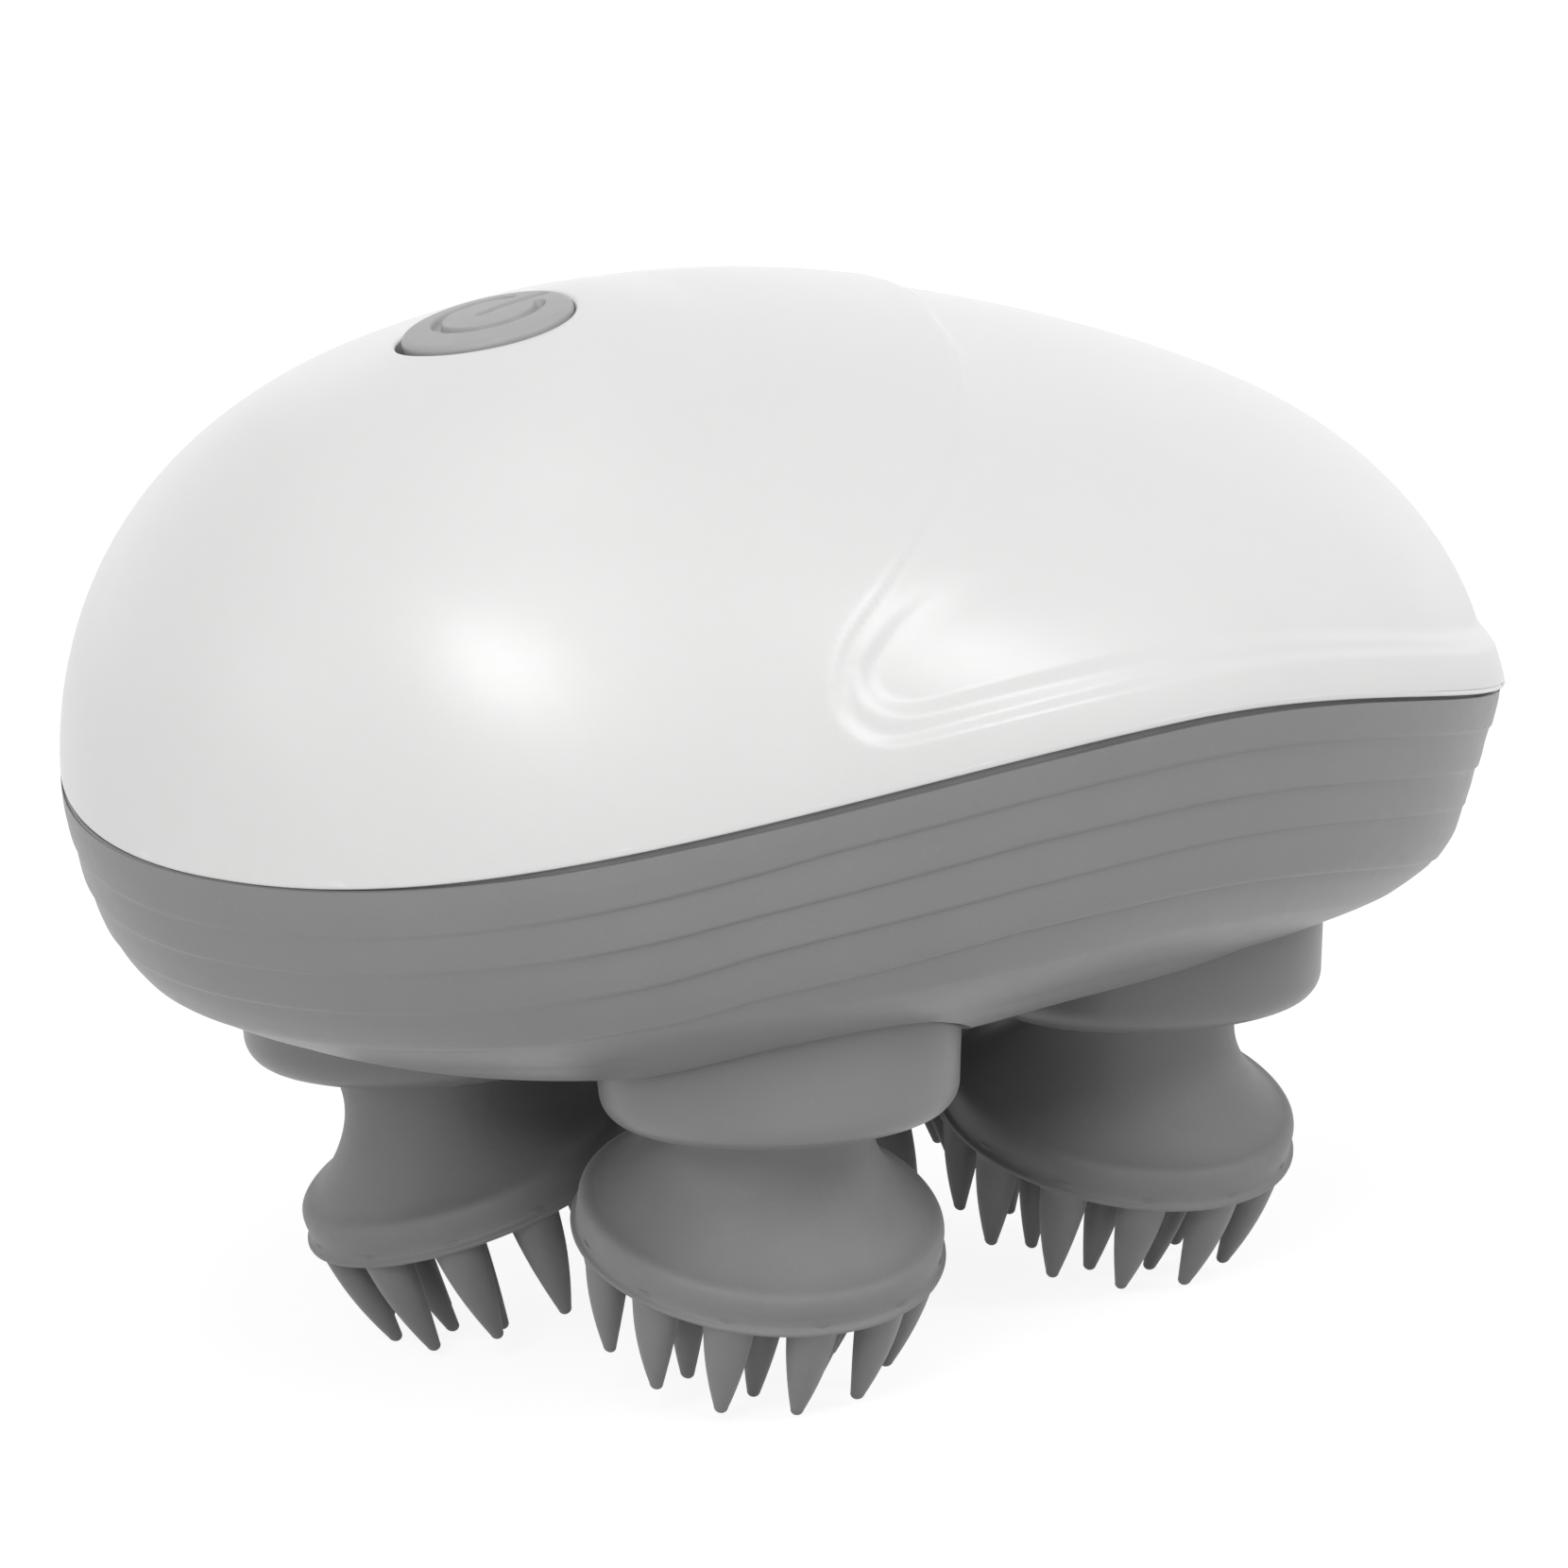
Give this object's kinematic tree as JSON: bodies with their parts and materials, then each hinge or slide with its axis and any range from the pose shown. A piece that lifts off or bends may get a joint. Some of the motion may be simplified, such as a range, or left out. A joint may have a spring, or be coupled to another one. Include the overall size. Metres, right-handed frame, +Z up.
{
  "type": "scalp massager",
  "caption": "Egg-shaped cordless scalp massager: white crown over a grey base, with rotating tilted silicone heads with claws, gear train, motor, cell and power button",
  "frame": {"origin": "middle of the bounding box in plan, on the floor that the lowest claw tips stand on", "axes": "+X runs from the nose with the button to the tail with the charging port, +Y across the body, +Z up"},
  "size_m": [0.114, 0.092, 0.0785],
  "materials": {
    "pearl_shell": "pearl satin",
    "grey_shell": "fine matte",
    "grey_button": "fine matte",
    "silicone": "soft matte silicone",
    "gasket_rubber": "black rubber",
    "plug_rubber": "grey rubber",
    "nylon": "natural nylon",
    "hub_plastic": "moulded",
    "steel": "turned",
    "motor_steel": "plated can",
    "bronze": "sintered bronze",
    "board": "green lacquer",
    "switch_plastic": "moulded",
    "cell_wrap": "shrink sleeve",
    "lead_cover": "soft insulation"
  },
  "bodies": {
    "housing": {"upper_shell": "pearl_shell", "lower_shell": "grey_shell", "seam_gasket": "gasket_rubber", "gearbox_cover": "nylon", "cover_screws": "steel", "drive_axles": "steel", "shaft_bushes": "bronze", "shaft_seals": "gasket_rubber", "motor_gearhead": "motor_steel", "drive_motor": "motor_steel", "motor_screws": "steel", "cell_tray": "nylon", "rechargeable_cell": "cell_wrap", "circuit_board": "board", "board_screws": "steel", "tact_switch": "switch_plastic", "charging_board": "board", "charging_socket": "steel", "motor_leads": "lead_cover", "cell_leads": "lead_cover", "charging_leads": "lead_cover"},
    "button": {"power_button": "grey_button"},
    "plug": {"port_plug": "plug_rubber"},
    "pinion": {"motor_pinion": "steel"},
    "drive_right": {"drive_gear_right": "nylon"},
    "drive_left": {"drive_gear_left": "nylon"},
    "output_front_right": {"output_gear_front_right": "nylon", "collar_front_right": "grey_shell", "crank_pin_front_right": "steel"},
    "head_front_right": {"head_hub_front_right": "hub_plastic", "massage_head_front_right": "silicone"},
    "output_front_left": {"output_gear_front_left": "nylon", "collar_front_left": "grey_shell", "crank_pin_front_left": "steel"},
    "head_front_left": {"head_hub_front_left": "hub_plastic", "massage_head_front_left": "silicone"},
    "output_rear_right": {"output_gear_rear_right": "nylon", "collar_rear_right": "grey_shell", "crank_pin_rear_right": "steel"},
    "head_rear_right": {"head_hub_rear_right": "hub_plastic", "massage_head_rear_right": "silicone"},
    "output_rear_left": {"output_gear_rear_left": "nylon", "collar_rear_left": "grey_shell", "crank_pin_rear_left": "steel"},
    "head_rear_left": {"head_hub_rear_left": "hub_plastic", "massage_head_rear_left": "silicone"}
  },
  "joints": [
    {"name": "output_front_left_spin", "type": "hinge", "parent": "housing", "child": "output_front_left", "pos_m": [-0.0208, 0.0172, 0.02373], "axis": [0, 0, 1], "continuous": true},
    {"name": "output_front_right_spin", "type": "hinge", "parent": "housing", "child": "output_front_right", "pos_m": [-0.0208, -0.0172, 0.02373], "axis": [0, 0, 1], "continuous": true},
    {"name": "output_rear_right_spin", "type": "hinge", "parent": "housing", "child": "output_rear_right", "pos_m": [0.0208, -0.0172, 0.02373], "axis": [0, 0, 1], "continuous": true},
    {"name": "output_rear_left_spin", "type": "hinge", "parent": "housing", "child": "output_rear_left", "pos_m": [0.0208, 0.0172, 0.02373], "axis": [0, 0, 1], "continuous": true},
    {"name": "drive_left_spin", "type": "hinge", "parent": "housing", "child": "drive_left", "pos_m": [0, 0.0172, 0.034], "axis": [0, 0, 1], "continuous": true},
    {"name": "drive_right_spin", "type": "hinge", "parent": "housing", "child": "drive_right", "pos_m": [0, -0.0172, 0.034], "axis": [0, 0, 1], "continuous": true},
    {"name": "motor_pinion_spin", "type": "hinge", "parent": "housing", "child": "pinion", "pos_m": [0.0155, -0.00159, 0.039], "axis": [0, 0, 1], "continuous": true},
    {"name": "head_front_right_swivel", "type": "hinge", "parent": "output_front_right", "child": "head_front_right", "pos_m": [-0.0208, -0.0172, 0.02373], "axis": [-0.122, -0.3019, 0.9455], "continuous": true},
    {"name": "head_front_left_swivel", "type": "hinge", "parent": "output_front_left", "child": "head_front_left", "pos_m": [-0.0208, 0.0172, 0.02373], "axis": [-0.2875, 0.1528, 0.9455], "continuous": true},
    {"name": "head_rear_right_swivel", "type": "hinge", "parent": "output_rear_right", "child": "head_rear_right", "pos_m": [0.0208, -0.0172, 0.02373], "axis": [-0.0565, -0.3206, 0.9455], "continuous": true},
    {"name": "head_rear_left_swivel", "type": "hinge", "parent": "output_rear_left", "child": "head_rear_left", "pos_m": [0.0208, 0.0172, 0.02373], "axis": [-0.2494, 0.2093, 0.9455], "continuous": true},
    {"name": "power_button_press", "type": "slide", "parent": "housing", "child": "button", "axis": [0.1828, 0, -0.9832], "range_m": [0, 0.0008], "stiffness_N_per_m": 1500, "springref_m": -0.0003},
    {"name": "port_plug_pull", "type": "slide", "parent": "housing", "child": "plug", "axis": [1, 0, 0], "range_m": [0, 0.008]}
  ],
  "couplings": [
    {"joint": "output_front_right_spin", "follows": "output_front_left_spin", "ratio": -1},
    {"joint": "output_rear_right_spin", "follows": "output_front_left_spin", "ratio": -1},
    {"joint": "output_rear_left_spin", "follows": "output_front_left_spin", "ratio": 1},
    {"joint": "drive_left_spin", "follows": "output_front_left_spin", "ratio": -1.8889},
    {"joint": "drive_right_spin", "follows": "output_front_left_spin", "ratio": 1.8889},
    {"joint": "motor_pinion_spin", "follows": "output_front_left_spin", "ratio": -6.7685}
  ]
}
